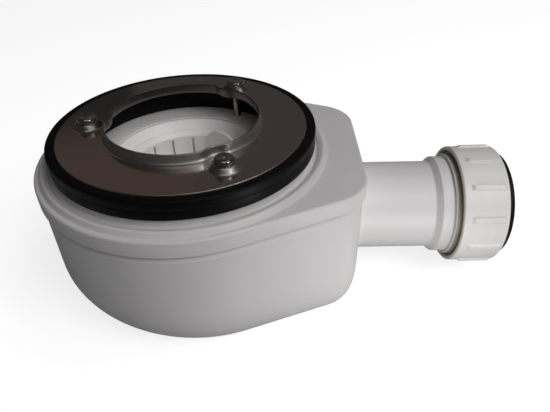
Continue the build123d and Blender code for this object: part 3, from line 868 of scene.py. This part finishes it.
# %% Black rubber
def moulded_rubber(name, code, roughness):
    """Near-black rubber: roughness in patches of 9 mm and a fine skin of 0.8 mm in the bump."""
    material, tree = new_material(name)
    place = object_place(tree)
    patch = add_node(tree, "ShaderNodeTexNoise", {"Vector": place, "Scale": per_mm(9), "Detail": 4.0})
    gloss = add_node(tree, "ShaderNodeMapRange", {
        "Value": patch.outputs["Fac"], "From Min": 0.3, "From Max": 0.7,
        "To Min": roughness - 0.06, "To Max": roughness + 0.1})
    skin = add_node(tree, "ShaderNodeTexNoise", {"Vector": place, "Scale": per_mm(0.8), "Detail": 2.0})
    bump = add_node(tree, "ShaderNodeBump", {
        "Height": skin.outputs["Fac"], "Strength": 0.35, "Distance": 0.05 * MM})
    shader = add_node(tree, "ShaderNodeBsdfPrincipled", {
        "Base Color": colour(code), "Roughness": gloss.outputs[0], "IOR": 1.5,
        "Specular IOR Level": 0.15, "Normal": bump.outputs[0]})
    finish_material(tree, shader)
    return material


gasket_black = moulded_rubber("gasket_rubber", "#080707", 0.45)
seal_black = moulded_rubber("seal_rubber", "#141314", 0.4)

# %% [markdown]
# ### Polished stainless steel
#
# The plate is bright-annealed stainless sheet, a mirror with a slightly milky film: finger smudges
# raise the roughness in patches, and faint rings remain from the spinning of the rim. What the eye
# sees in it is mostly the room, so its own colour stays a plain warm grey. Steep walls were
# stretched by the press and are rougher, and the inside of the rim is painted a darker colour, a
# painted shade that stands in for the dark it reflects.

# %% Polished and turned metal
def polished_metal(name, code, roughness, smudge, lines, drawn, painted_inner_shade):
    """Metal with smudges of 12 mm in the roughness and concentric lines 3.8 mm apart in the bump.

    The lines are a wave that repeats 20 / (2 pi) times over the size of its scale, here 12 mm.
    With d = normal . place, the place drawn flat and to length one, the roughness grows by
    drawn * |d| on steep walls, and where d falls from -0.2 to -0.6 the colour turns to the painted
    inner shade, a darker colour painted on faces that look towards the axis.
    """
    material, tree = new_material(name)
    place = object_place(tree)
    patch = add_node(tree, "ShaderNodeTexNoise", {
        "Vector": place, "Scale": per_mm(12), "Detail": 5.0, "Roughness": 0.6})
    gloss = add_node(tree, "ShaderNodeMapRange", {
        "Value": patch.outputs["Fac"], "From Min": 0.35, "From Max": 0.7,
        "To Min": roughness, "To Max": roughness + smudge})
    rings = add_node(tree, "ShaderNodeTexWave", {
        "Vector": place, "Scale": per_mm(12), "Distortion": 0.6, "Detail": 2.0, "Detail Scale": 2.0},
        wave_type="RINGS", rings_direction="Z")
    bump = add_node(tree, "ShaderNodeBump", {
        "Height": rings.outputs["Fac"], "Strength": lines, "Distance": 0.02 * MM})
    flat = add_node(tree, "ShaderNodeVectorMath", {0: place, 1: (1, 1, 0)}, operation="MULTIPLY")
    outward = add_node(tree, "ShaderNodeVectorMath", {0: flat.outputs[0]}, operation="NORMALIZE")
    facing = add_node(tree, "ShaderNodeNewGeometry", {}).outputs["Normal"]
    along = add_node(tree, "ShaderNodeVectorMath", {0: outward.outputs[0], 1: facing},
                     operation="DOT_PRODUCT")
    # Faces turned towards the axis, as on the inside of the rim, take the painted inner shade.
    share = add_node(tree, "ShaderNodeMapRange", {
        "Value": along.outputs["Value"], "From Min": -0.2, "From Max": -0.6})
    steep = add_node(tree, "ShaderNodeMath", {0: along.outputs["Value"]}, operation="ABSOLUTE")
    gloss = add_node(tree, "ShaderNodeMath", {0: steep.outputs[0], 1: drawn, 2: gloss.outputs[0]},
                     operation="MULTIPLY_ADD")
    # Painted shade: the colour turns darker on the inside of the rim.
    tint = add_node(tree, "ShaderNodeMix", {
        "Factor": share.outputs[0], 6: colour(code), 7: colour(painted_inner_shade)}, data_type="RGBA")
    shader = add_node(tree, "ShaderNodeBsdfPrincipled", {
        "Base Color": tint.outputs[2], "Metallic": 1.0, "Roughness": gloss.outputs[0],
        "Normal": bump.outputs[0]})
    finish_material(tree, shader)
    return material


# The plate's last colour, #645f5c, is painted shade on the inside of the rim.
plate_steel = polished_metal("polished_stainless", "#cfcac5", 0.14, 0.05, 0.04, 0.2, "#645f5c")
screw_steel = polished_metal("screw_stainless", "#d2cfca", 0.11, 0.04, 0.0, 0.0, "#d2cfca")
brass = polished_metal("turned_brass", "#c8a35a", 0.3, 0.1, 0.2, 0.0, "#c8a35a")

# %% [markdown]
# ## Every piece rides on the body
#
# A new piece stands for the solid that it covers, which is then hidden, and takes the material
# listed with it. Three solids are hidden in the assembly and keep their own meshes with a better
# material.

# %% Pieces, solids and finishes
DRESS = [
    (tub, ["tub"], "body_white", body_white),
    (weir, ["tub"], "body_white", body_white),
    (pipe, ["tub"], "body_white", pipe_white),
    (deck, ["deck"], "body_white", body_white),
    (bosses, ["deck"], "body_white", body_white),
    (lower_gasket, ["lower_gasket"], "gasket_rubber", gasket_black),
    (upper_gasket, ["upper_gasket"], "gasket_rubber", gasket_black),
    (plate, ["clamp_plate"], "polished_steel", plate_steel),
    (screw_set, ["plate_screws"], "screw_steel", screw_steel),
    (dip_tube, ["dip_tube"], "insert_white", insert_white),
    (basket, ["hair_basket"], "insert_white", insert_white),
    (tab, ["hair_basket"], "insert_white", insert_white),
    (nut, ["compression_nut"], "nut_white", nut_white),
    (seal, ["outlet_lip_seal"], "seal_rubber", seal_black),
]
for piece, nodes, slot, material in DRESS:
    piece.data.materials.clear()
    piece.data.materials.append(material)
    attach(piece, "root")
    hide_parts(*nodes)
HIDDEN = {"screw_inserts": brass, "dip_tube_o_ring": seal_black, "slip_washer": insert_white}
for node, material in HIDDEN.items():
    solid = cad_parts[node]
    solid.data.materials.clear()
    solid.data.materials.append(material)
print("pieces:", len(DRESS), "hidden solids:", len(HIDDEN))

# %% [markdown]
# ## Floor, light and camera
#
# The floor is white to the camera and still keeps the shadow: its own pale grey takes the light,
# and a little emission, for camera rays alone, lifts the lit part to paper white. Three broad lamps
# at the right, the front and above give the body its shading, a small one low beside the pipe
# stands for the glow of a bright bench, and an even world fills the rest, dim as a light but white
# where it is seen. Polished metal shows its surroundings, so dim cards stand for the unlit room;
# only reflections see them. Lamps and cards are given by their places in millimetres, and the
# lamps' powers are in watts.

# %% The floor
FLOOR_REACH = 3000


def floor_material(lift):
    """Diffuse grey plus emission of a given strength where the camera looks at it."""
    material, tree = new_material("white_floor")
    matte = add_node(tree, "ShaderNodeBsdfDiffuse", {"Color": colour("#bcbcbc")})
    path = add_node(tree, "ShaderNodeLightPath", {})
    strength = add_node(tree, "ShaderNodeMath", {0: path.outputs["Is Camera Ray"], 1: lift},
                        operation="MULTIPLY")
    glow = add_node(tree, "ShaderNodeEmission", {
        "Color": colour("#ffffff"), "Strength": strength.outputs[0]})
    both = add_node(tree, "ShaderNodeAddShader", {0: matte.outputs[0], 1: glow.outputs[0]})
    finish_material(tree, both)
    return material


def sheet_of(name, low, high, material):
    """A flat stage sheet between two opposite corners in millimetres, which share one coordinate."""
    low, high = np.array(low), np.array(high)
    along = (high - low) * (np.arange(3) == np.flatnonzero(high != low)[0])
    corners = np.stack([low, low + along, high, high - along]) * MM
    mesh = bpy.data.meshes.new(name)
    mesh.from_pydata(corners.tolist(), [], [(0, 1, 2, 3)])
    mesh.materials.append(material)
    sheet = bpy.data.objects.new(name, mesh)
    bpy.context.scene.collection.objects.link(sheet)
    return sheet


sheet_of("floor", (-FLOOR_REACH, -FLOOR_REACH, 0), (FLOOR_REACH, FLOOR_REACH, 0),
         floor_material(lift=0.78))


# %% The dim cards that the steel and the rubber reflect
def card_material(name, low, high):
    """Dim emission: a low colour up to a height of 200 mm and a high colour from 270 mm on."""
    material, tree = new_material(name)
    split = add_node(tree, "ShaderNodeSeparateXYZ", {"Vector": object_place(tree)})
    up = add_node(tree, "ShaderNodeMapRange", {
        "Value": split.outputs["Z"], "From Min": 200 * MM, "From Max": 270 * MM},
        interpolation_type="SMOOTHSTEP")
    tint = add_node(tree, "ShaderNodeMix", {
        "Factor": up.outputs[0], 6: colour(low), 7: colour(high)}, data_type="RGBA")
    glow = add_node(tree, "ShaderNodeEmission", {"Color": tint.outputs[2], "Strength": 1.0})
    finish_material(tree, glow)
    return material


plain_wall = card_material("plain_wall", "#444041", "#474140")
dark_wall = card_material("dark_wall", "#2c2a2a", "#2c2a2a")
doorway = card_material("doorway", "#262627", "#262627")
warm_shelf = card_material("warm_shelf", "#4e423e", "#4e423e")
pale_panel = card_material("pale_panel", "#a8a6a4", "#a8a6a4")
CARDS = [
    ("far_card", (-420, 300, 60), (420, 300, 620), plain_wall),
    ("doorway_card", (-420, 298, 60), (-110, 298, 238), doorway),
    ("warm_card", (-420, 298, 242), (-55, 298, 600), warm_shelf),
    ("panel_card", (-300, -650, 880), (300, -330, 880), pale_panel),
    ("bench_card", (-420, -700, 1), (420, -130, 1), dark_wall),
    ("near_card", (-900, -700, 0), (900, -700, 900), dark_wall),
    ("left_card", (-900, -700, 0), (-900, 900, 900), dark_wall),
    ("back_card", (-900, 900, 0), (900, 900, 900), dark_wall),
    ("right_card", (900, -700, 0), (900, 900, 900), dark_wall),
    ("ceiling_card", (-900, -700, 900), (900, 900, 900), dark_wall),
]
for name, low, high, material in CARDS:
    card = sheet_of(name, low, high, material)
    card.visible_camera = card.visible_diffuse = card.visible_shadow = False
print("cards:", len(CARDS))

# %% The world
world = bpy.data.worlds.new("studio")
bpy.context.scene.world = world
world.use_nodes = True
world.node_tree.nodes.clear()
sky = world.node_tree
path = add_node(sky, "ShaderNodeLightPath", {})
seen = add_node(sky, "ShaderNodeMath", {
    0: path.outputs["Is Camera Ray"], 1: path.outputs["Is Glossy Ray"]}, operation="MAXIMUM")
seen = add_node(sky, "ShaderNodeMath", {
    0: seen.outputs[0], 1: path.outputs["Is Transmission Ray"]}, operation="MAXIMUM")
level = add_node(sky, "ShaderNodeMapRange", {"Value": seen.outputs[0], "To Min": 0.065, "To Max": 1.0})
glow = add_node(sky, "ShaderNodeBackground", {"Color": colour("#ffffff"), "Strength": level.outputs[0]})
add_node(sky, "ShaderNodeOutputWorld", {"Surface": glow.outputs[0]})


# %% The lamps
LAMPS = [
    ("key_lamp", (724, -591, 959), (20, 0, 40), 600, 6.0),
    ("front_lamp", (334, -864, 959), (20, 0, 40), 500, 1.5),
    ("top_lamp", (561, 95, 1218), (20, 0, 40), 500, 2.5),
    ("bench_lamp", (118, -106, 22), (84, -28, 30), 50, 0.033),
]
for name, place, aim, size, power in LAMPS:
    data = bpy.data.lights.new(name, "AREA")
    data.size = size * MM
    data.energy = power
    light = bpy.data.objects.new(name, data)
    bpy.context.scene.collection.objects.link(light)
    light.location = Vector(place) * MM
    light.rotation_euler = (Vector(aim) - Vector(place)).to_track_quat("-Z", "Y").to_euler()
    light.visible_camera = False
print("lamps:", len(LAMPS))


# %% The camera
def look(azimuth, elevation, roll, place):
    """Camera matrix from angles: it looks back along (sin a cos e, -cos a cos e, sin e), then rolls."""
    a, e, r = np.radians([azimuth, elevation, roll])
    back = np.array([np.sin(a) * np.cos(e), -np.cos(a) * np.cos(e), np.sin(e)])
    level_right = np.cross(-back, (0, 0, 1))
    level_right /= np.linalg.norm(level_right)
    level_up = np.cross(level_right, -back)
    right = np.cos(r) * level_right + np.sin(r) * level_up
    up = -np.sin(r) * level_right + np.cos(r) * level_up
    matrix = np.eye(4)
    matrix[:3] = np.stack([right, up, back, np.array(place) * MM], 1)
    return Matrix(matrix.tolist())


camera_data = bpy.data.cameras.new("camera")
camera_data.sensor_width = 36
camera_data.lens = 32.551
camera = bpy.data.objects.new("camera", camera_data)
bpy.context.scene.collection.objects.link(camera)
camera.matrix_world = look(0.48, 36.79, -1.31, (40.43, -193.75, 177.65))
bpy.context.scene.camera = camera
bpy.context.scene.view_settings.view_transform = "Standard"
print("camera at", [round(c, 3) for c in camera.matrix_world.translation])
